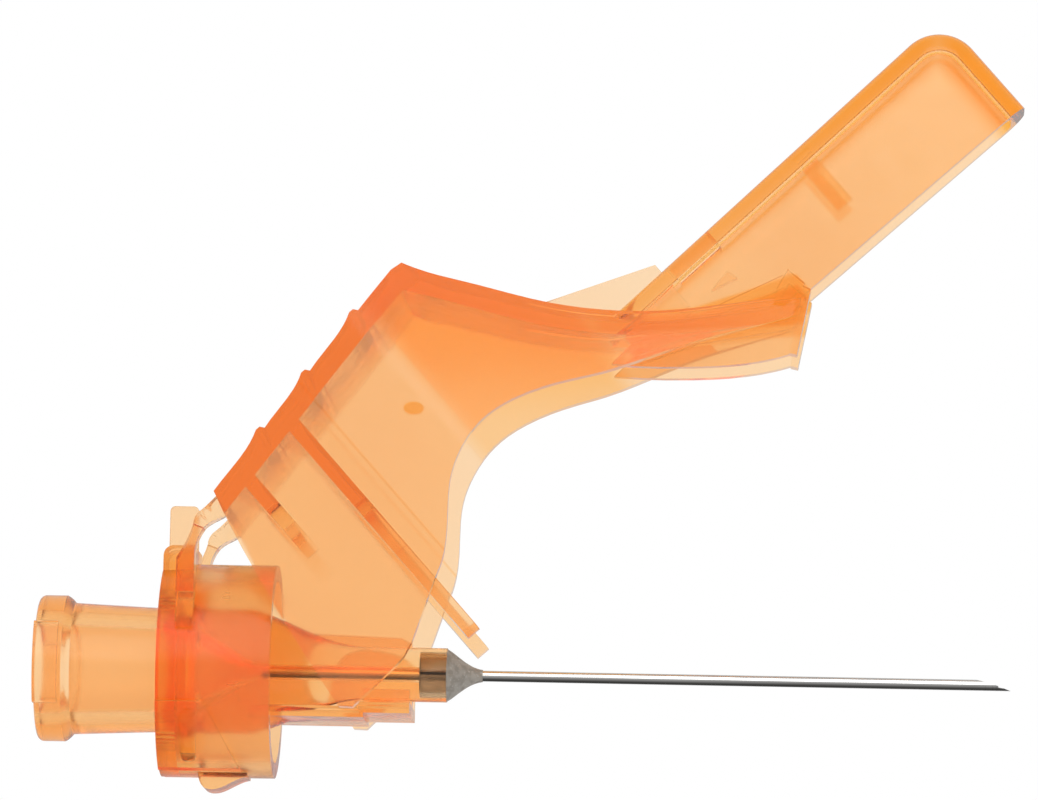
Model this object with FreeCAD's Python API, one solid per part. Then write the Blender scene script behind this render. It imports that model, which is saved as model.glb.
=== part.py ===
import FreeCAD, Part
import os

os.makedirs("parts", exist_ok=True)

# Frame: origin at the centre of the luer mouth, X along the needle, Y up in the picture, Z to the viewer
# All lengths are in millimetres and all angles in degrees

# Cannula, 25 gauge by 25.4 mm
CANNULA_OUTER_R = 0.257
CANNULA_LUMEN_R = 0.13
CANNULA_START_X = 10.6
CANNULA_TIP_X = 46.7
BEVEL_LENGTH = 1.8
LANCET_LENGTH = 0.75
LANCET_TURN = 38.0

# Hub
LUER_MOUTH_R = 2.15
LUER_TAPER = 0.06
LUER_DEPTH = 7.5
FEED_R = 0.2
FLANGE_R = 3.5
FLANGE_LENGTH = 1.5
FLANGE_ROUND = 0.3
LUG_R = 3.9
LUG_WIDTH = 3.9
LUG_LENGTH = 1.15
BARREL_R = 2.98
BARREL_ROOT_R = 3.15
CONE_START_X = 10.2
NOSE_R = 1.3
NOSE_START_X = 16.2
NOSE_END_X = 19.6
STOP_RING_RISE = 0.27
STOP_RING_LENGTH = 0.45
WELL_R = 0.85
WELL_DEPTH = 1.3
CANNULA_SEAT_GAP = 0.02
RIB_START_X = 11.0
RIB_END_X = 17.9
RIB_Y = 1.7
RIB_HALF_W = 0.4
SLED_START_X = 10.3
SLED_STEP_X = 15.75
SLED_END_X = 17.95
SLED_BOTTOM_Y = -2.31
SLED_WALL = 0.53
SLED_STEP = 0.22
SLED_HALF_W = 2.5
LIP_TOP_Y = -0.95
LIP_WALL = 0.4
FIN_START_X = 9.8
FIN_END_X = 13.9
FIN_WALL = 0.36
FIN_DROP = 1.5
FIN_TURN = 12.0

# Glue cone on the nose
GLUE_CONE_LENGTH = 1.7
GLUE_FEATHER = 0.033
GLUE_RIM_GAP = 0.04

# Collar
COLLAR_START_X = 6.0
COLLAR_END_X = 11.4
COLLAR_R = 5.1
COLLAR_WALL = 0.75
COLLAR_END_WALL = 0.85
SHOULDER_RISE = 0.7
SHOULDER_LENGTH = 1.5
SHOULDER_HALF_W = 2.2
KEEL_START_X = 7.85
KEEL_END_X = 10.2
KEEL_DROP = 0.68
KEEL_HALF_W = 1.2
RAMP_START_X = 8.2
RAMP_END_X = 10.3
RAMP_RISE = 0.22
RAMP_GAP_HALF_W = 1.9
RECESS_X = 7.5
RECESS_R = 0.38
RECESS_LOW_Y = -4.2
RECESS_HIGH_Y = -2.65
RECESS_DEPTH = 0.2
TAB_WALL = 0.6
TAB_LENGTH = 1.38
TAB_TOP_Y = 7.9
TAB_ROUND = 0.25

# Living hinge between the collar's arms and the shield
HINGE_X = 7.98
HINGE_Y = 6.86
OPEN_ANGLE = 42.0
STRAP_Z = 4.4
STRAP_HALF_W = 0.6
ARM_FOOT_Y = 1.6
ARM_FOOT_LENGTH = 0.85

# Wide part of the shield, laid out closed over the needle and then swung open about the hinge
WEB_START_X = 9.21
WEB_START_Y = 7.26
APEX_X = 23.02
APEX_Y = 9.96
PAD_END_X = 36.6
PAD_END_Y = -3.55
PAD_TIP_SET_BACK = 0.82
PAD_TIP_WALL = 0.55
CREST_X = 21.2
CREST_Y = 1.55
FORE_FOOT_X = 14.72
FORE_FOOT_Y = -2.61
FOOT_X = 7.5
FOOT_Y = -4.85
HEEL_X = 7.04
HEEL_Y = -4.4
BUMP_HEIGHT = 0.24
BUMP_FALL = 0.38
WEB_WALL = 1.0
PAD_WALL = 1.1
WIDE_HALF_W = 6.1
NARROW_HALF_W = 2.45
BEND_X = 20.3
BEND_ROUND = 12.0
SIDE_WALL = 0.55
REAR_WALL = 0.78
REAR_WALL_END_X = 15.65
SLANT_WALL = 1.1

# Walls across the wide part that stand astride the collar and the hub
BULKHEAD = 0.7
ARC_WALL_X = 10.85
ARC_WALL_END_Y = 1.95
COLLAR_CLEARANCE = 0.4
FORK_X = 14.15
FORK_WALL_END_Y = -0.4
FORK_SLOT_HALF_W = 2.95
PRONG_OUTER_Z = 5.5
PRONG_INNER_Z = 4.0
PRONG_WAIST_Y = -3.0
PRONG_END_Y = -5.85
PRONG_ROUND = 0.6

# Channel that covers the needle
CHANNEL_START_X = 28.9
CHANNEL_END_X = 50.8
CHANNEL_START_Y = 1.78
CHANNEL_TOP_Y = 2.38
CHANNEL_EDGE_Y = -3.55
CHANNEL_HALF_W = 2.15
CHANNEL_WALL = 0.55
CHANNEL_ROOF = 0.85
CHANNEL_END_WALL = 0.85
CHANNEL_NOSE_R = 2.1
CHANNEL_ROUND = 1.25
WINDOW_X = 32.8
WINDOW_LENGTH = 2.6
WINDOW_HALF_W = 1.1
CHEEK_WALL = 0.3
RIB_X = 40.7
RIB_WIDTH = 0.9
RIB_HEIGHT = 0.15
RIB_FOOT_Y = -1.55
NEEDLE_SLOT_HALF_W = 1.2
LOBE_SET_BACK = 2.25
LOBE_LENGTH = 6.75
LOBE_START_Y = -0.1
LOBE_END_Y = -5.3
FLANGE_REACH = 0.45
GUSSET_HALF_W = 0.25
DIMPLE_R = 0.4
DIMPLE_DEPTH = 0.05
DIMPLE_X = 17.9
DIMPLE_Y = 4.6

V = FreeCAD.Vector
AXIS_X = V(1, 0, 0)
AXIS_Y = V(0, 1, 0)
AXIS_Z = V(0, 0, 1)


# Outlines are runs of points, each run either a chain of lines or one smooth curve
def lines(points):
    return [Part.makeLine(a, b) for a, b in zip(points, points[1:]) if a.distanceToPoint(b) > 1e-6]


def curve(points):
    spline = Part.BSplineCurve()
    spline.interpolate(points)
    return [spline.toShape()]


def outline_face(runs, lift):
    edges = []
    last = None
    for make, points in runs:
        spots = [lift(*p) for p in points]
        if last:
            edges += lines([last, spots[0]])
        edges += make(spots)
        last = spots[-1]
    edges += lines([last, lift(*runs[0][1][0])])
    return Part.Face(Part.Wire(edges))


def side_form(runs, z0, z1):
    face = outline_face(runs, lambda x, y: V(x, y, z0))
    return face.extrude(V(0, 0, z1 - z0))


def side_prism(points, z0, z1):
    return side_form([(lines, points)], z0, z1)


def plan_prism(points, y0, y1):
    face = outline_face([(lines, points)], lambda x, z: V(x, y0, z))
    return face.extrude(V(0, y1 - y0, 0))


def end_prism(points, x, thickness):
    face = outline_face([(lines, points)], lambda y, z: V(x - thickness / 2, y, z))
    return face.extrude(V(thickness, 0, 0))


def turned(runs):
    face = outline_face(runs, lambda x, r: V(x, r, 0))
    return face.revolve(V(0, 0, 0), AXIS_X, 360)


def rod(x0, x1, radius):
    return Part.makeCylinder(radius, x1 - x0, V(x0, 0, 0), AXIS_X)


def block(x0, x1, y0, y1, z0, z1):
    return Part.makeBox(x1 - x0, y1 - y0, z1 - z0, V(x0, y0, z0))


# Points at the given shares of the way from one corner to the other, along X and along Y
def between(start, end, shares):
    return [(start[0] + (end[0] - start[0]) * a, start[1] + (end[1] - start[1]) * b) for a, b in shares]


# The same curve moved square to itself
def inward(points, distance):
    spline = Part.BSplineCurve()
    spline.interpolate([V(x, y, 0) for x, y in points])
    moved = []
    for x, y in points:
        tangent = spline.tangent(spline.parameter(V(x, y, 0)))[0]
        moved.append((x + tangent.y * distance, y - tangent.x * distance))
    return moved


def edges_where(shape, test):
    return [e for e in shape.Edges if test(e)]


def along(edge, axis):
    line = edge.Vertexes[-1].Point.sub(edge.Vertexes[0].Point)
    return line.Length > 1e-6 and abs(line.dot(axis)) / line.Length > 0.999


# Cannula tube with a lancet bevel that faces the shield
def make_cannula():
    tube = rod(CANNULA_START_X, CANNULA_TIP_X, CANNULA_OUTER_R)
    tube = tube.cut(rod(CANNULA_START_X, CANNULA_TIP_X, CANNULA_LUMEN_R))
    top = CANNULA_OUTER_R * 4
    bevel_x = CANNULA_TIP_X - BEVEL_LENGTH
    beyond_x = CANNULA_TIP_X + BEVEL_LENGTH
    tube = tube.cut(side_prism(
        [(bevel_x, CANNULA_OUTER_R), (CANNULA_TIP_X, -CANNULA_OUTER_R), (beyond_x, -CANNULA_OUTER_R),
         (beyond_x, top), (bevel_x, top)], -top, top))
    lancet_x = CANNULA_TIP_X - LANCET_LENGTH
    for side in (1, -1):
        lancet = side_prism(
            [(lancet_x, -CANNULA_OUTER_R * 0.08), (CANNULA_TIP_X + CANNULA_OUTER_R * 0.08, -CANNULA_OUTER_R),
             (beyond_x, -CANNULA_OUTER_R), (beyond_x, top), (lancet_x, top)], -top, top)
        lancet.rotate(V(0, 0, 0), AXIS_X, side * LANCET_TURN)
        tube = tube.cut(lancet)
    return tube


# Glue that fills the well in the nose and stands out as a cone
def make_adhesive():
    foot = (NOSE_END_X, NOSE_R - GLUE_RIM_GAP)
    tip = (NOSE_END_X + GLUE_CONE_LENGTH, CANNULA_OUTER_R + GLUE_FEATHER)
    cone = [foot] + between(foot, tip, [(0.21, 0.25), (0.47, 0.6), (0.74, 0.87)]) + [tip]
    well_x = NOSE_END_X - WELL_DEPTH
    return turned([
        (lines, [(well_x, CANNULA_OUTER_R), (well_x, WELL_R), (NOSE_END_X, WELL_R)]),
        (curve, cone),
        (lines, [(tip[0], CANNULA_OUTER_R)])])


# Hub body: flange, barrel with a stop ring for the collar, cone and nose
def hub_body():
    ring_x = COLLAR_START_X + COLLAR_END_WALL
    ring_r = BARREL_R + STOP_RING_RISE
    rim = [(0, FLANGE_R - FLANGE_ROUND), (FLANGE_ROUND * 0.3, FLANGE_R - FLANGE_ROUND * 0.3),
           (FLANGE_ROUND, FLANGE_R)]
    back = [(FLANGE_LENGTH - FLANGE_ROUND * 0.6, FLANGE_R), (FLANGE_LENGTH, FLANGE_R - FLANGE_ROUND * 0.4),
            (FLANGE_LENGTH + FLANGE_ROUND * 0.7, BARREL_ROOT_R)]
    cone_start = (CONE_START_X, BARREL_R)
    cone_end = (NOSE_START_X, NOSE_R)
    cone = [cone_start] + between(cone_start, cone_end, [(0.23, 0.26), (0.5, 0.67), (0.74, 0.93)]) + [cone_end]
    return turned([
        (lines, [(0, 0)]),
        (curve, rim),
        (curve, back),
        (lines, [(COLLAR_START_X - STOP_RING_RISE, BARREL_R), (ring_x, BARREL_R), (ring_x, ring_r),
                 (ring_x + STOP_RING_LENGTH, ring_r), (ring_x + STOP_RING_LENGTH * 2, BARREL_R)]),
        (curve, cone),
        (lines, [(NOSE_END_X, NOSE_R), (NOSE_END_X, 0)])])


# Thread lugs either side of the flange
def hub_lugs():
    lugs = block(0, LUG_LENGTH, -LUG_WIDTH / 2, LUG_WIDTH / 2, -LUG_R, LUG_R)
    lugs = lugs.common(rod(0, LUG_LENGTH, LUG_R))
    return lugs.makeFillet(FLANGE_ROUND / 2, edges_where(lugs, lambda e: along(e, AXIS_X)))


# Rib above the cone, and the stepped sled below it that the shield's prongs snap over
def hub_ribs():
    rib = side_prism(
        [(RIB_START_X, 0), (RIB_START_X, RIB_Y * 1.35), (RIB_START_X + RIB_Y * 0.6, RIB_Y * 1.09),
         (RIB_END_X - RIB_Y * 0.3, RIB_Y), (RIB_END_X, RIB_Y * 0.85), (RIB_END_X, 0)], -RIB_HALF_W, RIB_HALF_W)
    front_y = SLED_BOTTOM_Y + SLED_STEP
    overlap = SLED_WALL * 0.75
    web = side_prism(
        [(SLED_START_X, SLED_BOTTOM_Y * 0.2), (SLED_START_X, front_y), (SLED_STEP_X, front_y),
         (SLED_END_X, front_y + SLED_WALL / 3), (SLED_END_X, SLED_BOTTOM_Y * 0.2)], -RIB_HALF_W, RIB_HALF_W)
    rear = block(SLED_START_X, SLED_STEP_X, SLED_BOTTOM_Y, SLED_BOTTOM_Y + SLED_WALL, -SLED_HALF_W, SLED_HALF_W)
    front = block(SLED_STEP_X - overlap, SLED_END_X, front_y, front_y + SLED_WALL, -SLED_HALF_W, SLED_HALF_W)
    parts = [rib, web, rear, front]
    for side in (1, -1):
        lip = block(SLED_STEP_X, SLED_END_X, front_y + SLED_WALL / 2, LIP_TOP_Y, -LIP_WALL / 2, LIP_WALL / 2)
        lip.translate(V(0, 0, side * (SLED_HALF_W - LIP_WALL / 2)))
        parts.append(lip)
    return parts


# Slanted fins from the barrel down to the sled
def hub_fins():
    fins = []
    for side in (1, -1):
        root = (FIN_START_X, side * BARREL_R)
        end = (FIN_END_X, side * NOSE_R)
        edge = between(root, end, [(0, 0.05), (0.37, 0.32), (0.63, 0.73), (1, 1.03)])
        fin = plan_prism(edge + [(FIN_END_X, side * NOSE_R / 2), (FIN_START_X, side * NOSE_R / 2)],
                         -FIN_WALL / 2, FIN_WALL / 2)
        fin.rotate(V(FIN_START_X, 0, 0), AXIS_Z, FIN_TURN)
        fin.translate(V(0, -FIN_DROP, 0))
        fins.append(fin)
    return fins


# Luer socket, feed hole, seat for the cannula and well for the glue
def hub_bore():
    slope = LUER_TAPER / 2
    socket_end_r = LUER_MOUTH_R - slope * LUER_DEPTH
    seat_r = CANNULA_OUTER_R + CANNULA_SEAT_GAP
    well_x = NOSE_END_X - WELL_DEPTH
    return turned([(lines, [
        (-1, 0), (-1, LUER_MOUTH_R + slope), (LUER_DEPTH, socket_end_r),
        (LUER_DEPTH + socket_end_r * 0.2, socket_end_r * 0.8), (CANNULA_START_X - FEED_R, FEED_R),
        (CANNULA_START_X, FEED_R), (CANNULA_START_X, seat_r), (well_x, seat_r), (well_x, WELL_R),
        (NOSE_END_X + 1, WELL_R), (NOSE_END_X + 1, 0)])])


def make_hub():
    hub = hub_body().fuse([hub_lugs()] + hub_ribs() + hub_fins())
    return hub.cut(hub_bore()).removeSplitter()


# Raised shoulder under the arms, keel below and ramp on both sides of the collar
def collar_outside():
    inner_r = COLLAR_R - COLLAR_WALL
    shoulder_x = COLLAR_START_X + SHOULDER_LENGTH
    shoulder_y = COLLAR_R + SHOULDER_RISE
    rise = between((COLLAR_START_X, COLLAR_R), (shoulder_x, shoulder_y), [(0, 0.3), (0.07, 0.74), (0.3, 1)])
    shoulder = side_form([
        (lines, [(COLLAR_START_X, inner_r)]), (curve, rise),
        (lines, [(shoulder_x, shoulder_y), (shoulder_x, inner_r)])], -SHOULDER_HALF_W, SHOULDER_HALF_W)
    keel_y = -COLLAR_R - KEEL_DROP
    keel_line = between((KEEL_START_X, -inner_r), (KEEL_END_X, keel_y),
                        [(0, 0.18), (0.02, 0.66), (0.13, 0.94), (0.28, 1), (0.53, 0.89), (1, 0.56)])
    keel = side_form([
        (curve, keel_line), (lines, [(KEEL_END_X, -inner_r), (KEEL_START_X, -inner_r)])],
        -KEEL_HALF_W, KEEL_HALF_W)
    ramp_top_y = -RAMP_GAP_HALF_W
    ramp_low_y = -COLLAR_R - RAMP_RISE
    ramp_line = between((RAMP_START_X, ramp_top_y), (RAMP_END_X, ramp_low_y),
                        [(0, 0), (0.26, 0.25), (0.55, 0.58), (1, 1)])
    ramp = side_form([
        (lines, [(COLLAR_START_X, ramp_low_y), (COLLAR_START_X, ramp_top_y)]), (curve, ramp_line)],
        ramp_low_y, -ramp_low_y)
    ramp = ramp.common(rod(COLLAR_START_X, COLLAR_END_X, COLLAR_R + RAMP_RISE))
    ramp = ramp.cut(block(COLLAR_START_X, COLLAR_END_X, ramp_low_y, 0, -RAMP_GAP_HALF_W, RAMP_GAP_HALF_W))
    return [shoulder, keel, ramp]


# Where each strap springs from its arm
ARM_CROWN = (HINGE_X - 0.36, HINGE_Y - 0.32)
ARM_TAIL = (HINGE_X + 0.13, HINGE_Y - 0.5)


# Arms that carry the hinge straps, run down inside the collar's wall
def collar_arms():
    foot_x = COLLAR_START_X + ARM_FOOT_LENGTH
    back_x = foot_x + ARM_FOOT_LENGTH
    base_y = COLLAR_R * 0.96
    front = [(foot_x, base_y)] + between((foot_x, base_y), ARM_CROWN, [(0.4, 0.33), (0.7, 0.62)]) + [ARM_CROWN]
    back = [ARM_TAIL] + between(ARM_TAIL, (back_x, base_y), [(0.45, 0.2), (0.8, 0.45)]) + [(back_x, base_y)]
    arms = []
    for side in (1, -1):
        arms.append(side_form(
            [(curve, front), (curve, back), (lines, [(back_x, ARM_FOOT_Y), (foot_x, ARM_FOOT_Y)])],
            side * STRAP_Z - STRAP_HALF_W, side * STRAP_Z + STRAP_HALF_W))
    return arms


# Back stop tab for the shield
def collar_tab():
    tab_x = COLLAR_START_X + RAMP_RISE / 2
    tab = block(tab_x, tab_x + TAB_LENGTH, COLLAR_R - COLLAR_WALL / 2, TAB_TOP_Y, -TAB_WALL / 2, TAB_WALL / 2)
    top = edges_where(tab, lambda e: along(e, AXIS_Z) and e.CenterOfMass.y > TAB_TOP_Y - TAB_ROUND)
    return tab.makeFillet(TAB_ROUND, top)


# Shallow rounded recess in the collar's two sides
def collar_recess(side):
    z0 = min(side * COLLAR_R / 2, side * COLLAR_R * 1.2)
    depth = COLLAR_R * 0.7
    slot = block(RECESS_X - RECESS_R, RECESS_X + RECESS_R, RECESS_LOW_Y, RECESS_HIGH_Y, z0, z0 + depth)
    for y in (RECESS_LOW_Y, RECESS_HIGH_Y):
        slot = slot.fuse(Part.makeCylinder(RECESS_R, depth, V(RECESS_X, y, z0), AXIS_Z))
    return slot.cut(rod(COLLAR_START_X, COLLAR_END_X, COLLAR_R - RECESS_DEPTH))


# Collar tube, closed at the luer end by a wall that grips the hub
def make_collar():
    collar = rod(COLLAR_START_X, COLLAR_END_X, COLLAR_R)
    collar = collar.fuse(collar_outside() + collar_arms())
    collar = collar.cut(rod(COLLAR_START_X + COLLAR_END_WALL, COLLAR_END_X + 1, COLLAR_R - COLLAR_WALL))
    collar = collar.cut(rod(COLLAR_START_X - 1, COLLAR_END_X, BARREL_R))
    collar = collar.cut([collar_recess(1), collar_recess(-1)])
    return collar.fuse(collar_tab()).removeSplitter()


WEB_START = (WEB_START_X, WEB_START_Y)
APEX = (APEX_X, APEX_Y)
PAD_START = (APEX_X + WEB_WALL * 0.06, APEX_Y - WEB_WALL * 0.16)
PAD_END = (PAD_END_X, PAD_END_Y)
PAD_SHARES = [(0.041, 0.075), (0.135, 0.209), (0.297, 0.437), (0.438, 0.593), (0.571, 0.71), (0.697, 0.799),
              (0.83, 0.884), (0.933, 0.951)]
BUMP_SHARES = (0.247, 0.493, 0.754)


def web_point(share, rise):
    x, y = between(WEB_START, APEX, [(share, share)])[0]
    return (x, y + rise)


# Outer line of the web: three grip bumps, each a slow rise and a short fall
def web_runs():
    runs = []
    fall = BUMP_FALL / (APEX_X - WEB_START_X)
    share = 0
    for bump in BUMP_SHARES:
        step = bump - share
        runs.append((curve, [
            web_point(share, 0 if share == 0 else -BUMP_HEIGHT * 0.15), web_point(share + step * 0.55, 0),
            web_point(share + step * 0.85, BUMP_HEIGHT * 0.4), web_point(bump, BUMP_HEIGHT)]))
        runs.append((lines, [web_point(bump + fall * 0.6, BUMP_HEIGHT * 0.8)]))
        share = bump + fall
    runs.append((lines, [web_point(share, -BUMP_HEIGHT * 0.15), web_point(0.96, 0)]))
    return runs


def pad_points():
    return [PAD_START] + between(PAD_START, PAD_END, PAD_SHARES) + [PAD_END]


# Closed side outline of the wide part
def wide_side():
    skirt_end = (PAD_END_X - PAD_TIP_SET_BACK, PAD_END_Y - PAD_TIP_WALL)
    crest = (CREST_X, CREST_Y)
    fore_foot = (FORE_FOOT_X, FORE_FOOT_Y)
    foot = (FOOT_X, FOOT_Y)
    heel = (HEEL_X, HEEL_Y)
    skirt = [skirt_end] + between(skirt_end, crest, [(0.15, 0.18), (0.3, 0.36), (0.45, 0.51), (0.61, 0.67),
                                                     (0.72, 0.81), (0.86, 0.95)])
    skirt += [crest] + between(crest, fore_foot, [(0.26, 0.09), (0.47, 0.27), (0.63, 0.51)]) + [fore_foot]
    sole = between(fore_foot, foot, [(0.14, 0.25), (0.42, 0.76), (0.53, 0.9), (0.63, 0.94), (1, 1)])
    edge = [heel] + between(heel, WEB_START, [(0.18, 0.26), (0.47, 0.57), (0.77, 0.84)]) + [WEB_START]
    return web_runs() + [(curve, pad_points()), (curve, skirt), (lines, sole), (curve, edge)]


# Plan outline that narrows from the wide part to the channel
def plan(half_wide, half_narrow, bend_x):
    beyond_x = PAD_END_X + WEB_WALL
    reach = WIDE_HALF_W * 2.5
    shape = plan_prism(
        [(0, half_wide), (bend_x, half_wide), (PAD_END_X, half_narrow), (beyond_x, half_narrow),
         (beyond_x, -half_narrow), (PAD_END_X, -half_narrow), (bend_x, -half_wide), (0, -half_wide)],
        -reach, reach)
    bends = edges_where(shape, lambda e: abs(e.CenterOfMass.x - bend_x) < 0.01 and along(e, AXIS_Y))
    return shape.makeFillet(BEND_ROUND, bends)


# Hollow under the web and pad, its side walls thick, thin and thick again in three steps
def wide_hollow():
    reach = WIDE_HALF_W * 2.5
    turn_share = 0.945
    pad = inward(pad_points(), PAD_WALL)
    roof_end = web_point(turn_share, -WEB_WALL)
    pad = [p for p in pad if p[1] < roof_end[1] - PAD_WALL * 0.5]
    start = web_point(-0.4, -WEB_WALL)
    side = side_form(
        [(lines, [start, roof_end]), (curve, pad), (lines, [(pad[-1][0], -reach), (start[0], -reach)])],
        -WIDE_HALF_W, WIDE_HALF_W)
    slant_half = NARROW_HALF_W - SLANT_WALL
    hollow = side.common(plan(WIDE_HALF_W - REAR_WALL, slant_half, BEND_X + SLANT_WALL - REAR_WALL))
    thin_half = WIDE_HALF_W - SIDE_WALL
    thin = side.common(block(REAR_WALL_END_X, BEND_X, -reach, reach, -thin_half, thin_half))
    return [hollow, thin]


# Arc wall that stands astride the collar, and fork wall whose prongs stand astride the hub
def bulkheads():
    half = WIDE_HALF_W - REAR_WALL / 2
    parts = []
    for x, end_y in ((ARC_WALL_X, ARC_WALL_END_Y), (FORK_X, FORK_WALL_END_Y)):
        share = (x - WEB_START_X) / (APEX_X - WEB_START_X)
        top_y = web_point(share, -WEB_WALL / 2)[1]
        parts.append(end_prism([(top_y, half), (top_y, -half), (end_y, -half), (end_y, half)], x, BULKHEAD))
    parts[0] = parts[0].cut(rod(ARC_WALL_X - BULKHEAD, ARC_WALL_X + BULKHEAD, COLLAR_R + COLLAR_CLEARANCE))
    for side in (1, -1):
        prong = end_prism(
            [(0, side * FORK_SLOT_HALF_W), (0, side * PRONG_OUTER_Z), (PRONG_END_Y, side * PRONG_OUTER_Z),
             (PRONG_END_Y, side * PRONG_INNER_Z), (PRONG_WAIST_Y, side * PRONG_INNER_Z)], FORK_X, BULKHEAD)
        ends = edges_where(prong, lambda e: along(e, AXIS_X) and e.CenterOfMass.y < PRONG_END_Y + 0.1)
        parts.append(prong.makeFillet(PRONG_ROUND, ends))
    return parts


def fork_slot():
    slot = block(FORK_X - BULKHEAD, FORK_X + BULKHEAD, PRONG_END_Y * 1.5, 0, -FORK_SLOT_HALF_W, FORK_SLOT_HALF_W)
    return slot.fuse(rod(FORK_X - BULKHEAD, FORK_X + BULKHEAD, FORK_SLOT_HALF_W))


# Outside of the channel, rounded along its roof and nose
def channel_body():
    body = side_prism(
        [(CHANNEL_START_X, CHANNEL_START_Y), (CHANNEL_END_X - CHANNEL_NOSE_R, CHANNEL_TOP_Y),
         (CHANNEL_END_X, CHANNEL_TOP_Y), (CHANNEL_END_X, CHANNEL_EDGE_Y), (PAD_END_X, CHANNEL_EDGE_Y),
         (CHANNEL_START_X, -CHANNEL_WALL)], -CHANNEL_HALF_W, CHANNEL_HALF_W)
    nose = edges_where(body, lambda e: along(e, AXIS_Z) and e.CenterOfMass.x > CHANNEL_END_X - 0.01
                       and e.CenterOfMass.y > 0)
    body = body.makeFillet(CHANNEL_NOSE_R, nose)
    sides = edges_where(body, lambda e: abs(abs(e.CenterOfMass.z) - CHANNEL_HALF_W) < 0.01
                        and (e.CenterOfMass.x > CHANNEL_END_X - CHANNEL_NOSE_R or e.CenterOfMass.y > 1))
    return body.makeFillet(CHANNEL_ROUND, sides)


# Inside of the channel, open towards the needle
def channel_void():
    half = CHANNEL_HALF_W - CHANNEL_WALL
    end_x = CHANNEL_END_X - CHANNEL_END_WALL
    roof_y = CHANNEL_TOP_Y - CHANNEL_ROOF
    inner_round = CHANNEL_ROUND - CHANNEL_WALL
    low_y = CHANNEL_EDGE_Y * 3
    void = side_prism(
        [(CHANNEL_START_X, CHANNEL_START_Y - CHANNEL_ROOF), (CHANNEL_END_X - CHANNEL_NOSE_R, roof_y),
         (end_x, roof_y), (end_x, low_y), (CHANNEL_START_X, low_y)], -half, half)
    nose = edges_where(void, lambda e: along(e, AXIS_Z) and e.CenterOfMass.x > end_x - 0.01
                       and e.CenterOfMass.y > 0)
    void = void.makeFillet(CHANNEL_NOSE_R - CHANNEL_ROOF, nose)
    sides = edges_where(void, lambda e: abs(abs(e.CenterOfMass.z) - half) < 0.01
                        and (e.CenterOfMass.x > CHANNEL_END_X - CHANNEL_NOSE_R or e.CenterOfMass.y > 0))
    void = void.makeFillet(inner_round, sides)
    pad = side_form(
        [(curve, pad_points()), (lines, [(PAD_END_X, low_y), (CHANNEL_START_X, low_y)])],
        -CHANNEL_HALF_W, CHANNEL_HALF_W)
    slot = block(CHANNEL_START_X - PAD_WALL, PAD_END_X + PAD_WALL, low_y, CHANNEL_START_Y - CHANNEL_ROOF,
                 -NEEDLE_SLOT_HALF_W, NEEDLE_SLOT_HALF_W)
    return void.cut(pad).fuse(slot)


# Lobes below the channel's open edge that lead the needle in, with a flange across their front
def lead_in():
    end = (PAD_END_X - LOBE_SET_BACK, LOBE_END_Y)
    start = (end[0] - LOBE_LENGTH, LOBE_START_Y)
    low = [start] + between(start, end, [(0.2, 0.25), (0.42, 0.5), (0.7, 0.78)]) + [end]
    corner = (PAD_END_X + 0.55, PAD_END_Y - 0.1)
    back = (PAD_END_X + 0.3, PAD_END_Y + 0.4)
    plate = [end, (end[0] + 0.22, end[1] - 0.3), corner, back]
    kite = between(back, corner, [(-3.8, -1.2), (0.2, -1.9), (0.9, 0.2), (-4.3, 0.5), (-6, -0.3)])
    fin_x = PAD_END_X + 0.1
    fin = [(end[0] - 2.15, -0.3), (fin_x, -2.2), (fin_x, -3.1), (end[0] - 2.15, -1.2)]
    parts = []
    for side in (1, -1):
        inner = side * (NARROW_HALF_W - SIDE_WALL * 1.2)
        outer = side * NARROW_HALF_W
        far = side * (NARROW_HALF_W + FLANGE_REACH)
        rib_z = side * NEEDLE_SLOT_HALF_W
        parts.append(side_form(
            [(curve, low), (lines, [corner, (PAD_END_X, -2.2), (CHANNEL_START_X, 0)])],
            min(inner, outer), max(inner, outer)))
        for shape, z in ((plate, far), (kite, far)):
            parts.append(side_prism(shape, min(inner, z), max(inner, z)))
        parts.append(side_prism(fin, min(inner, rib_z), max(inner, rib_z)))
    return parts


# Barb, rib and thick cheeks inside the channel, and the gusset behind its roof
def channel_details():
    inner = CHANNEL_HALF_W - CHANNEL_WALL
    barb = side_prism(
        [(WINDOW_X + 1.03, -0.13), (WINDOW_X + 2.2, 0.12), (WINDOW_X + 2.35, -0.5)], -inner - 0.1, -inner / 2)
    rib = block(RIB_X, RIB_X + RIB_WIDTH, RIB_FOOT_Y, CHANNEL_START_Y, inner - RIB_HEIGHT, CHANNEL_HALF_W - 0.1)
    gusset = side_prism(
        [(CHANNEL_START_X - 2.6, CHANNEL_START_Y + 3.2), (WINDOW_X - 0.3, CHANNEL_TOP_Y + 0.08),
         (WINDOW_X - 0.3, CHANNEL_START_Y - 0.4), (CHANNEL_START_X - 0.3, CHANNEL_START_Y - 0.5)],
        -GUSSET_HALF_W, GUSSET_HALF_W)
    parts = [barb, rib, gusset]
    for side in (1, -1):
        z = side * inner
        cheek = side * (inner - CHEEK_WALL)
        parts.append(block(CHANNEL_START_X + 1, WINDOW_X - 0.45, -0.3, CHANNEL_START_Y - 0.4,
                           min(z, cheek), max(z, cheek)))
    return parts


# Round mark of the mould's ejector pin on the near side wall
def dimple():
    return Part.makeCylinder(DIMPLE_R, DIMPLE_DEPTH * 2, V(DIMPLE_X, DIMPLE_Y, WIDE_HALF_W - DIMPLE_DEPTH), AXIS_Z)


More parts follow.
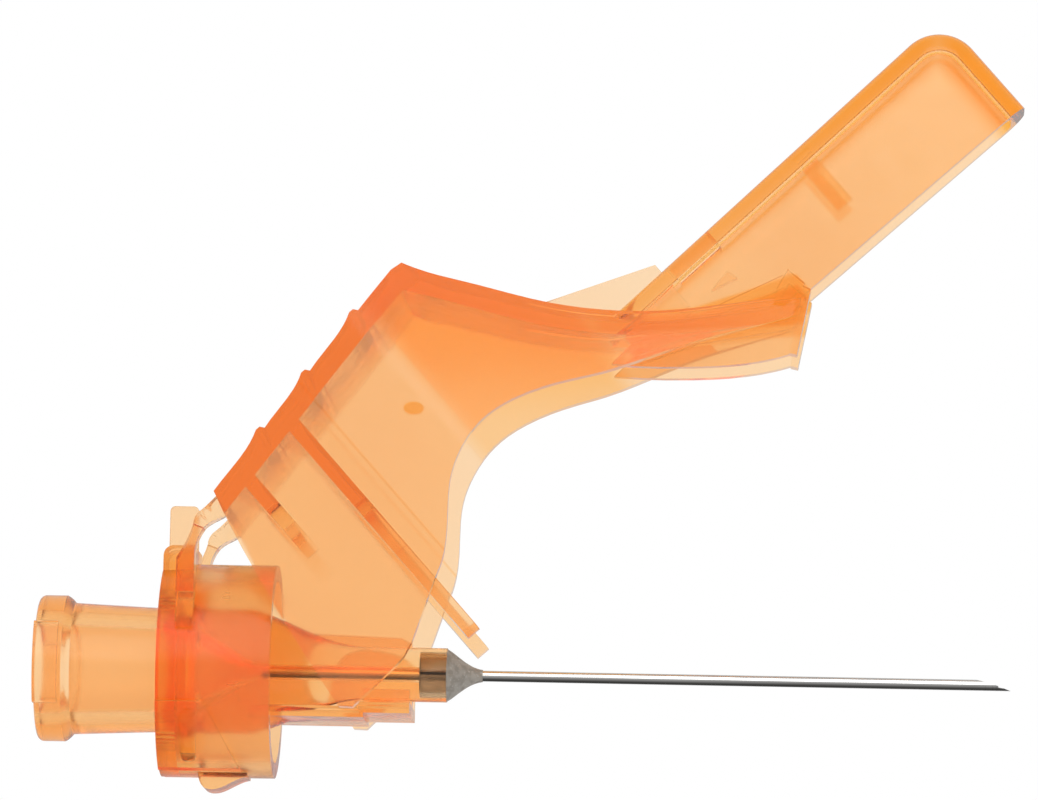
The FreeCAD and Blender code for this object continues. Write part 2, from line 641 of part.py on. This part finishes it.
# The whole shield, swung open about the hinge
def make_shield():
    wide = side_form(wide_side(), -WIDE_HALF_W, WIDE_HALF_W).common(plan(WIDE_HALF_W, NARROW_HALF_W, BEND_X))
    wide = wide.cut(wide_hollow() + [dimple()])
    shield = wide.fuse(bulkheads()).cut(fork_slot())
    shield = shield.fuse([channel_body()] + lead_in()).cut(channel_void())
    shield = shield.fuse(channel_details())
    window = block(WINDOW_X, WINDOW_X + WINDOW_LENGTH, 0, CHANNEL_TOP_Y + CHANNEL_ROOF,
                   -WINDOW_HALF_W, WINDOW_HALF_W)
    shield = shield.cut(window)
    shield.rotate(V(HINGE_X, HINGE_Y, 0), AXIS_Z, OPEN_ANGLE)
    return shield.removeSplitter()


# Living hinge straps at rest, from the arms' crowns to the shield's edge, where the shield cuts them off
def make_strap(side, shield):
    upper = [ARM_CROWN, (HINGE_X - 0.3, HINGE_Y - 0.02), (HINGE_X - 0.16, HINGE_Y + 0.2),
             (HINGE_X + 0.12, HINGE_Y + 0.44), (HINGE_X + 0.46, HINGE_Y + 0.78), (HINGE_X + 0.82, HINGE_Y + 1.14)]
    lower = [(HINGE_X + 1.3, HINGE_Y + 0.3), (HINGE_X + 0.9, HINGE_Y + 0.02), (HINGE_X + 0.45, HINGE_Y - 0.22),
             ARM_TAIL]
    strap = side_form(
        [(curve, upper), (curve, lower)], side * STRAP_Z - STRAP_HALF_W, side * STRAP_Z + STRAP_HALF_W)
    return min(strap.cut(shield).Solids, key=lambda piece: piece.BoundBox.XMin)


# Export, one file for each piece
shield = make_shield()
nodes = {
    "hub": make_hub(),
    "cannula": make_cannula(),
    "adhesive": make_adhesive(),
    "collar": make_collar(),
    "hinge_strap_upper": make_strap(1, shield),
    "hinge_strap_lower": make_strap(-1, shield),
    "shield": shield,
}
for name, shape in nodes.items():
    if len(shape.Solids) == 1:
        shape = shape.Solids[0]
    shape.exportStep("parts/" + name + ".step")
    print(name, shape.ShapeType, len(shape.Solids), round(shape.Volume, 3), shape.isValid(), shape.BoundBox)
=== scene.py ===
import math

import bmesh
import bpy
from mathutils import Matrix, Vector


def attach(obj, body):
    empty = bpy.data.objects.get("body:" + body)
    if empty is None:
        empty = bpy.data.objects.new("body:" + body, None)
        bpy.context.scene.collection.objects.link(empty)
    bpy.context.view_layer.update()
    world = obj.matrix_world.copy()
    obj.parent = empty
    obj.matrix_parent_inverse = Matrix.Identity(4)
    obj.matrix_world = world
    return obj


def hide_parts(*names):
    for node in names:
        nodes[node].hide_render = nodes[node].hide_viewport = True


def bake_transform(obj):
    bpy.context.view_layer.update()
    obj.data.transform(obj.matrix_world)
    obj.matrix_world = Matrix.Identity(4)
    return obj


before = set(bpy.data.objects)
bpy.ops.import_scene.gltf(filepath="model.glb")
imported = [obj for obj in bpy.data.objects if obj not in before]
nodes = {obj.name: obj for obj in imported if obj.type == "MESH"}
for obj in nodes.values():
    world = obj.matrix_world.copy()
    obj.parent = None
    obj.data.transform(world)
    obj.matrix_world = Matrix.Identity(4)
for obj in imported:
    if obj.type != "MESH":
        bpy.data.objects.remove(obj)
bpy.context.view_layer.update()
mm = 0.001
bpy.context.scene.view_settings.view_transform = "Standard"
print("stage: frame loaded")

# Camera, nearly straight above the lying part, lengths in millimetres
view = {"lookAt": (22.73, 13.36, 0.0), "away": (0.0457, -0.1298, 1.0), "up": (-0.0227, 0.9997, 0.0),
        "distance": 420.0, "lens": 303.0, "sensor": 36.0}


def linked(name, data):
    thing = bpy.data.objects.new(name, data)
    bpy.context.scene.collection.objects.link(thing)
    return thing


def makeCamera():
    data = bpy.data.cameras.new("camera")
    data.lens = view["lens"]
    data.sensor_width = view["sensor"]
    camera = linked("camera", data)
    away = Vector(view["away"]).normalized()
    right = Vector(view["up"]).cross(away).normalized()
    turn = camera.matrix_world.to_3x3()
    turn.col[0] = right
    turn.col[1] = away.cross(right)
    turn.col[2] = away
    camera.matrix_world = turn.to_4x4()
    camera.location = Vector(view["lookAt"]) * mm + away * view["distance"] * mm
    bpy.context.scene.camera = camera


makeCamera()

# World, floor and lamps, in metres and watts, each lamp with its place, power and size
studio = {"world": 0.75, "whiteLevel": 1.0,
          "seenThrough": 0.92, "seenInGloss": 0.62,  # how white the room looks through plastic and in gloss
          "floorCentre": (0.023, 0.013, -0.00615), "floorSize": 1.2, "floorColour": 0.9, "floorRough": 0.9,
          "lamps": {"overhead": ((0.05, 0.34, 0.5), 1.4, 0.5), "side": ((-0.45, -0.2, 0.35), 0.6, 0.3)}}


def lamp(name, place, power, size):
    data = bpy.data.lights.new(name, "AREA")
    data.energy = power
    data.size = size
    light = linked(name, data)
    light.location = place
    light.rotation_euler = (-Vector(place)).to_track_quat("-Z", "Y").to_euler()  # faces the luer mouth


def newMaterial(name):
    material = bpy.data.materials.new(name)
    material.use_nodes = True
    return material, material.node_tree, material.node_tree.nodes["Principled BSDF"]


def seenAsWhite(tree, plain, kind, levels):
    # each kind of ray named in levels meets its own white, the others the plain shader
    path = tree.nodes.new("ShaderNodeLightPath")
    last = plain.outputs[0]
    for ray, level in levels.items():
        white = tree.nodes.new(kind)
        white.inputs["Color"].default_value = (1, 1, 1, 1)
        white.inputs["Strength"].default_value = level
        mix = tree.nodes.new("ShaderNodeMixShader")
        tree.links.new(path.outputs[ray], mix.inputs[0])
        tree.links.new(last, mix.inputs[1])
        tree.links.new(white.outputs[0], mix.inputs[2])
        last = mix.outputs[0]
    return last


def makeWorld():
    world = bpy.data.worlds.new("studio")
    world.use_nodes = True
    bpy.context.scene.world = world
    tree = world.node_tree
    plain = tree.nodes["Background"]
    plain.inputs["Color"].default_value = (1, 1, 1, 1)
    plain.inputs["Strength"].default_value = studio["world"]
    levels = {"Is Glossy Ray": studio["seenInGloss"], "Is Transmission Ray": studio["seenThrough"],
              "Is Camera Ray": studio["whiteLevel"]}
    tree.links.new(seenAsWhite(tree, plain, "ShaderNodeBackground", levels),
                   tree.nodes["World Output"].inputs["Surface"])


def makeFloor():
    mesh = bpy.data.meshes.new("floor")
    sheet = bmesh.new()
    bmesh.ops.create_grid(sheet, x_segments=1, y_segments=1, size=studio["floorSize"])
    bmesh.ops.translate(sheet, verts=sheet.verts, vec=studio["floorCentre"])
    sheet.to_mesh(mesh)
    sheet.free()
    floor = linked("floor", mesh)
    paper, tree, plain = newMaterial("whitePaper")
    level = studio["floorColour"]
    plain.inputs["Base Color"].default_value = (level, level, level, 1)
    plain.inputs["Roughness"].default_value = studio["floorRough"]
    levels = {"Is Glossy Ray": studio["seenInGloss"], "Is Transmission Ray": studio["whiteLevel"],
              "Is Camera Ray": studio["whiteLevel"]}
    tree.links.new(seenAsWhite(tree, plain, "ShaderNodeEmission", levels),
                   tree.nodes["Material Output"].inputs["Surface"])
    mesh.materials.append(paper)


makeWorld()
makeFloor()
for name, (place, power, size) in studio["lamps"].items():
    lamp(name, place, power, size)
print("stage: camera, lamps and floor")


# Small helpers for the node trees
def mathNode(tree, operation, first, second):
    node = tree.nodes.new("ShaderNodeMath")
    node.operation = operation
    for socket, value in zip(node.inputs, (first, second)):
        if isinstance(value, (int, float)):
            socket.default_value = value
        else:
            tree.links.new(value, socket)
    return node.outputs[0]


def product(tree, first, second):
    return mathNode(tree, "MULTIPLY", first, second)


def newGroup(name, inputs, outputs):
    group = bpy.data.node_groups.new(name, "ShaderNodeTree")
    for direction, sockets in (("INPUT", inputs), ("OUTPUT", outputs)):
        for label, kind in sockets.items():
            group.interface.new_socket(name=label, in_out=direction, socket_type="NodeSocket" + kind)
    return group, group.nodes.new("NodeGroupOutput")


def objectPlace(tree):
    return tree.nodes.new("ShaderNodeTexCoord").outputs["Object"]


def parted(tree, place):
    node = tree.nodes.new("ShaderNodeSeparateXYZ")
    tree.links.new(place, node.inputs[0])
    return node.outputs


def noiseValue(tree, place, scale, detail, stretch=(1, 1, 1)):
    mapping = tree.nodes.new("ShaderNodeMapping")
    mapping.inputs["Scale"].default_value = stretch
    tree.links.new(place, mapping.inputs["Vector"])
    noise = tree.nodes.new("ShaderNodeTexNoise")
    noise.inputs["Scale"].default_value = scale
    noise.inputs["Detail"].default_value = detail
    tree.links.new(mapping.outputs[0], noise.inputs["Vector"])
    return noise.outputs["Fac"]


def mapped(tree, value, low, high, toLow, toHigh):
    node = tree.nodes.new("ShaderNodeMapRange")
    node.interpolation_type = "SMOOTHSTEP"
    for label, number in (("From Min", low), ("From Max", high), ("To Min", toLow), ("To Max", toHigh)):
        node.inputs[label].default_value = number
    tree.links.new(value, node.inputs["Value"])
    return node.outputs["Result"]


def within(tree, value, low, high, soft):
    rise = mapped(tree, value, low - soft, low + soft, 0.0, 1.0)
    return product(tree, rise, mapped(tree, value, high - soft, high + soft, 1.0, 0.0))


def mixed(tree, factor, first, second, blend="MIX"):
    node = tree.nodes.new("ShaderNodeMix")
    node.data_type = "RGBA"
    node.blend_type = blend
    sockets = [socket for socket in node.inputs if socket.type == "RGBA"]
    for socket, value in ((node.inputs[0], factor), (sockets[0], first), (sockets[1], second)):
        if isinstance(value, (float, int, tuple)):
            socket.default_value = value
        else:
            tree.links.new(value, socket)
    return [socket for socket in node.outputs if socket.type == "RGBA"][0]


def bumped(tree, height, strength, distance):
    node = tree.nodes.new("ShaderNodeBump")
    node.inputs["Strength"].default_value = strength
    node.inputs["Distance"].default_value = distance
    tree.links.new(height, node.inputs["Height"])
    return node.outputs["Normal"]


def grouped(tree, group):
    node = tree.nodes.new("ShaderNodeGroup")
    node.node_tree = group
    return node


# In the dictionaries below, Noise is scale, detail and stretch, and Bump is strength and depth in metres
# Fade is from, to, value at from and value at to, and Span is from, to and how soft its ends are

# Marks in the skin of every orange piece
marks = {"flowNoise": (130, 1, (1, 1, 0.4)), "flowFade": (0.3, 0.7, 0.0, 0.05),
         "flowTint": (0.9, 0.5, 0.25, 1),
         "hazeNoise": (900, 1), "hazeFade": (0.35, 0.75, 0.07, 0.15),
         "scratchNoise": (4000, 0, (0.06, 1, 1)), "scratchFade": (0.66, 0.76, 0.0, 0.03),
         "rippleNoise": (700, 0), "rippleBump": (0.05, 0.0001)}


def mouldedSkin():
    # slow flow marks in the colour, haze and fine scratches in the gloss, a slight ripple
    group, made = newGroup("mouldedSkin", {"Tint": "Color", "Haze": "Float"},
                           {"Color": "Color", "Roughness": "Float", "Normal": "Vector"})
    given = group.nodes.new("NodeGroupInput")
    place = objectPlace(group)
    flow = mapped(group, noiseValue(group, place, *marks["flowNoise"]), *marks["flowFade"])
    flowing = mixed(group, 1.0, given.outputs["Tint"], marks["flowTint"], "MULTIPLY")
    group.links.new(mixed(group, flow, given.outputs["Tint"], flowing), made.inputs["Color"])
    haze = mapped(group, noiseValue(group, place, *marks["hazeNoise"]), *marks["hazeFade"])
    scratch = mapped(group, noiseValue(group, place, *marks["scratchNoise"]), *marks["scratchFade"])
    haze = mathNode(group, "ADD", haze, given.outputs["Haze"])
    group.links.new(mathNode(group, "ADD", haze, scratch), made.inputs["Roughness"])
    ripple = noiseValue(group, place, *marks["rippleNoise"])
    group.links.new(bumped(group, ripple, *marks["rippleBump"]), made.inputs["Normal"])
    return group


# Painted shade, a deep orange laid on thick walls, in millimetres from the hinge along and across the closed
# shield
# pad is measured across from a line that slopes with the thumb pad, the oval in x and y of the open shield
paintedShade = {"hinge": (0.00798, 0.00686), "openAngle": 42.0, "padSlope": 0.75,
          "slantSpan": (12.5, 20.0, 0.6), "slantFade": (5.5, 10.5, 0.35, 0.65),
          "stepSpan": (7.61, 7.73, 0.03), "stepDepth": 0.3,
          "bandSpan": (20.0, 28.5, 0.6), "bandPadSpan": (9.4, 10.9, 0.12), "bandDepth": 0.6,
          "wedgeSpan": (24.2, 29.2, 0.1), "wedgePadSpan": (10.8, 12.6, 0.1),
          "wedgeSlope": 0.33, "wedgeFade": (2.75, 2.95, 0.7, 0.0),
          "roofFade": (20.6, 21.2, 0.0, 1.0), "roofAcrossFade": (-6.3, -4.8, 0.0, 1.0),
          "noseFade": (40.7, 42.4, 0.0, 1.0),
          "ribSpan": (32.72, 33.62, 0.08), "ribAcrossFade": (-8.5, -8.3, 0.0, 0.5),
          # the moulded oval mark on the near wall is shown only by painted shade
          "ovalCentre": (10.03, 5.26), "ovalStretch": (2.0, 3.2), "ovalFade": (0.75, 1.15, 0.7, 0.0),
          "nearWallFade": (0.003, 0.004, 0.0, 1.0), "offMiddleFade": (0.0006, 0.001, 0.0, 1.0)}  # in metres


def paintedDepthShade():
    # 1 where the painted shade for thick plastic is darkest
    group, made = newGroup("paintedDepthShade", {}, {"Mask": "Float"})

    def span(value, label):
        return within(group, value, *paintedShade[label])

    def fade(value, label):
        return mapped(group, value, *paintedShade[label])

    def fromHinge(value, axis):
        return product(group, mathNode(group, "SUBTRACT", value, paintedShade["hinge"][axis]), 1 / mm)

    def squared(value, axis):
        offset = mathNode(group, "SUBTRACT", value, paintedShade["ovalCentre"][axis])
        return mathNode(group, "POWER", product(group, offset, paintedShade["ovalStretch"][axis]), 2)

    place = parted(group, objectPlace(group))
    x = fromHinge(place[0], 0)
    y = fromHinge(place[1], 1)
    turn = math.radians(paintedShade["openAngle"])
    along = mathNode(group, "ADD", product(group, x, math.cos(turn)), product(group, y, math.sin(turn)))
    across = mathNode(group, "SUBTRACT", product(group, y, math.cos(turn)), product(group, x, math.sin(turn)))
    pad = mathNode(group, "ADD", across, product(group, along, paintedShade["padSlope"]))
    # painted shade on the slanted walls, a step line, the thumb pad band and wedge, the roof, nose, rib and
    # the oval mark
    slant = product(group, span(along, "slantSpan"), fade(pad, "slantFade"))
    step = product(group, span(along, "stepSpan"), paintedShade["stepDepth"])
    band = product(group, span(along, "bandSpan"), span(pad, "bandPadSpan"))
    band = product(group, band, paintedShade["bandDepth"])
    grown = mathNode(group, "SUBTRACT", pad, product(group, along, paintedShade["wedgeSlope"]))
    wedge = product(group, span(along, "wedgeSpan"), span(pad, "wedgePadSpan"))
    wedge = product(group, wedge, fade(grown, "wedgeFade"))
    roof = product(group, fade(along, "roofFade"), fade(across, "roofAcrossFade"))
    nose = fade(along, "noseFade")
    rib = product(group, span(along, "ribSpan"), fade(across, "ribAcrossFade"))
    oval = fade(mathNode(group, "ADD", squared(x, 0), squared(y, 1)), "ovalFade")
    oval = product(group, oval, fade(place[2], "nearWallFade"))
    total = roof
    for mask in (nose, rib, oval, step, band, wedge, slant):
        total = mathNode(group, "MAXIMUM", total, mask)
    offMiddle = fade(mathNode(group, "ABSOLUTE", place[2], 0.0), "offMiddleFade")
    group.links.new(product(group, total, offMiddle), made.inputs["Mask"])
    return group


# Painted shade at the closed end of the collar, where its thickest walls are, in millimetres along it and in
# metres up to its tab
collarEnd = {"alongFade": (7.5, 8.1, 0.55, 0.0), "tabFade": (0.0053, 0.0055, 1.0, 0.0)}


def paintedCollarShade():
    group, made = newGroup("paintedCollarShade", {}, {"Mask": "Float"})
    place = parted(group, objectPlace(group))
    # painted shade, fading out along the collar's end and above the line just below its tab
    end = mapped(group, product(group, place[0], 1 / mm), *collarEnd["alongFade"])
    belowTab = mapped(group, place[1], *collarEnd["tabFade"])
    group.links.new(product(group, end, belowTab), made.inputs["Mask"])
    return group


# Translucent moulded plastic, tinted at each surface and again by its depth
# The depth takes away, per metre, density times what absorb lacks from white
# deep is the painted shade colour that the shade masks lay on thick walls
plastic = {"tint": (1.0, 0.77, 0.54, 1), "collarTint": (0.985, 0.71, 0.45, 1), "deep": (0.99, 0.49, 0.05, 1),
           "rim": (0.7, 0.2, 0.02, 1), "rimFade": (0.72, 0.98, 0.0, 0.7),
           "absorb": (0.977, 0.657, 0.1, 1), "density": 350.0, "clear": 0.96, "ior": 1.3,
           "glow": (0.3, 0.115, 0.028, 1), "glowStrength": 1.0, "glowDepth": 7.5,
           "hubHaze": 0.08, "collarHaze": 0.1, "shieldHaze": 0.0}


def orangePlastic(name, skin, tint, haze, shade=None):
    material, tree, body = newMaterial(name)
    look = grouped(tree, skin)
    look.inputs["Tint"].default_value = tint
    look.inputs["Haze"].default_value = haze
    # painted shade: the mask paints the tint toward the deep orange
    if shade:
        tree.links.new(mixed(tree, grouped(tree, shade).outputs["Mask"], tint, plastic["deep"]),
                       look.inputs["Tint"])
    # painted shade: the colour darkens to a red-brown where the surface turns edge-on to the view
    facing = tree.nodes.new("ShaderNodeLayerWeight")
    edge = mapped(tree, facing.outputs["Facing"], *plastic["rimFade"])
    tree.links.new(mixed(tree, edge, look.outputs["Color"], plastic["rim"]), body.inputs["Base Color"])
    tree.links.new(look.outputs["Roughness"], body.inputs["Roughness"])
    tree.links.new(look.outputs["Normal"], body.inputs["Normal"])
    deep = mathNode(tree, "GREATER_THAN", tree.nodes.new("ShaderNodeLightPath").outputs["Ray Depth"],
                    plastic["glowDepth"])  # painted light: past seven bounces the plastic glows faintly orange for light lost in the thick corners
    tree.links.new(mixed(tree, deep, (0, 0, 0, 1), plastic["glow"]), body.inputs["Emission Color"])
    body.inputs["Emission Strength"].default_value = plastic["glowStrength"]
    body.inputs["IOR"].default_value = plastic["ior"]
    body.inputs["Transmission Weight"].default_value = plastic["clear"]
    inside = tree.nodes.new("ShaderNodeVolumeAbsorption")
    inside.inputs["Color"].default_value = plastic["absorb"]
    inside.inputs["Density"].default_value = plastic["density"]
    tree.links.new(inside.outputs[0], tree.nodes["Material Output"].inputs["Volume"])
    return material


# Needle steel, the start of its bevel and its painted dark underside placed in metres
steel = {"colour": (0.72, 0.715, 0.7, 1), "streak": (0.5, 0.49, 0.475, 1), "lower": (0.045, 0.043, 0.04, 1),
         "streakNoise": (9000, 4, (0.02, 1, 1)), "groundNoise": (14000, 3, (1, 0.08, 0.08)),
         "bevelFade": (0.0448, 0.0451, 0.0, 1.0), "lowerFade": (-0.00022, 0.00006, 1.0, 0.0),
         "streakFade": (0.4, 0.7, 0.0, 0.7), "roughFade": (0.35, 0.7, 0.16, 0.34),
         "grainBump": (0.05, 0.00001)}


def groundSteel():
    # drawing streaks along the tube, grinding marks across the bevel and a painted dark reflection along its
    # underside
    group, made = newGroup("groundSteel", {}, {"Color": "Color", "Roughness": "Float", "Normal": "Vector"})
    place = objectPlace(group)
    streak = noiseValue(group, place, *steel["streakNoise"])
    ground = noiseValue(group, place, *steel["groundNoise"])
    axes = parted(group, place)
    bevel = mapped(group, axes[0], *steel["bevelFade"])
    grain = mathNode(group, "ADD", streak, product(group, bevel, mathNode(group, "SUBTRACT", ground, streak)))
    drawn = mixed(group, mapped(group, grain, *steel["streakFade"]), steel["colour"], steel["streak"])
    lower = mapped(group, axes[1], *steel["lowerFade"])  # painted reflection: the side away from the shield is painted nearly black
    group.links.new(mixed(group, lower, drawn, steel["lower"]), made.inputs["Color"])
    group.links.new(mapped(group, grain, *steel["roughFade"]), made.inputs["Roughness"])
    group.links.new(bumped(group, grain, *steel["grainBump"]), made.inputs["Normal"])
    return group


# Grey epoxy round the foot of the needle
epoxy = {"colour": (0.33, 0.3, 0.262, 1), "speck": (0.2, 0.178, 0.15, 1), "pale": (0.5, 0.475, 0.43, 1),
         "cloudNoise": (2600, 5), "fineNoise": (9000, 3), "speckFade": (0.4, 0.62, 0.0, 0.55),
         "paleFade": (0.58, 0.7, 0.0, 0.6), "roughFade": (0.3, 0.7, 0.42, 0.66), "pitBump": (0.25, 0.00006)}


def curedEpoxy():
    # speckled filler with small pits
    group, made = newGroup("curedEpoxy", {}, {"Color": "Color", "Roughness": "Float", "Normal": "Vector"})
    place = objectPlace(group)
    cloud = noiseValue(group, place, *epoxy["cloudNoise"])
    fine = noiseValue(group, place, *epoxy["fineNoise"])
    base = mixed(group, mapped(group, cloud, *epoxy["speckFade"]), epoxy["colour"], epoxy["speck"])
    pale = mapped(group, fine, *epoxy["paleFade"])
    group.links.new(mixed(group, pale, base, epoxy["pale"]), made.inputs["Color"])
    group.links.new(mapped(group, cloud, *epoxy["roughFade"]), made.inputs["Roughness"])
    pits = mathNode(group, "ADD", cloud, fine)
    group.links.new(bumped(group, pits, *epoxy["pitBump"]), made.inputs["Normal"])
    return group


def groupedMaterial(name, group, metallic):
    material, tree, body = newMaterial(name)
    look = grouped(tree, group)
    tree.links.new(look.outputs["Color"], body.inputs["Base Color"])
    tree.links.new(look.outputs["Roughness"], body.inputs["Roughness"])
    tree.links.new(look.outputs["Normal"], body.inputs["Normal"])
    body.inputs["Metallic"].default_value = metallic
    return material


def dress(mesh, material):
    mesh.materials.clear()
    mesh.materials.append(material)


skin = mouldedSkin()
hubPlastic = orangePlastic("orangePlastic", skin, plastic["tint"], plastic["hubHaze"])
collarPlastic = orangePlastic("collarPlastic", skin, plastic["collarTint"], plastic["collarHaze"],
                              paintedCollarShade())
shieldPlastic = orangePlastic("shieldPlastic", skin, plastic["tint"], plastic["shieldHaze"], paintedDepthShade())
dress(nodes["hub"].data, hubPlastic)
dress(nodes["collar"].data, collarPlastic)
dress(nodes["cannula"].data, groupedMaterial("needleSteel", groundSteel(), 1.0))
dress(nodes["adhesive"].data, groupedMaterial("greyEpoxy", curedEpoxy(), 0.0))
print("stage: materials")

# Shield with the end of its inner rib brought flush with the channel's rounded edge, in metres
ribEnd = {"centre": (0.03603, 0.02528, 0.00205), "reach": 0.00052, "above": 0.00204, "flush": 0.00179}


def makeShield():
    mesh = nodes["shield"].data.copy()
    centre = Vector(ribEnd["centre"])
    for vertex in mesh.vertices:
        if (vertex.co - centre).length < ribEnd["reach"] and vertex.co.z > ribEnd["above"]:
            vertex.co.z = ribEnd["flush"]
    dress(mesh, shieldPlastic)
    piece = linked("shield_moulding", mesh)
    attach(piece, "shield")
    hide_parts("shield")


makeShield()
print("stage: shield")

# Hinge straps cut across into strips between the collar's arms and the shield, in metres and radians
strap = {"start": (0.00768, 0.00645), "end": (0.00872, 0.00742), "cuts": 6, "weld": 0.000002, "crease": 0.6}


def makeStrap(name):
    mesh = nodes[name].data.copy()
    built = bmesh.new()
    built.from_mesh(mesh)
    bmesh.ops.remove_doubles(built, verts=built.verts, dist=strap["weld"])
    start, end = Vector((*strap["start"], 0)), Vector((*strap["end"], 0))
    along = (end - start).normalized()
    for step in range(1, strap["cuts"] + 1):
        everything = built.verts[:] + built.edges[:] + built.faces[:]
        place = start.lerp(end, step / (strap["cuts"] + 1))
        bmesh.ops.bisect_plane(built, geom=everything, dist=strap["weld"], plane_co=place, plane_no=along)
    bmesh.ops.recalc_face_normals(built, faces=built.faces)
    built.to_mesh(mesh)
    built.free()
    mesh.shade_smooth()
    mesh.set_sharp_from_angle(angle=strap["crease"])
    dress(mesh, hubPlastic)
    piece = linked(name + "_bending", mesh)
    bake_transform(piece)
    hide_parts(name)


for name in ("hinge_strap_upper", "hinge_strap_lower"):
    makeStrap(name)
print("stage: hinge straps")
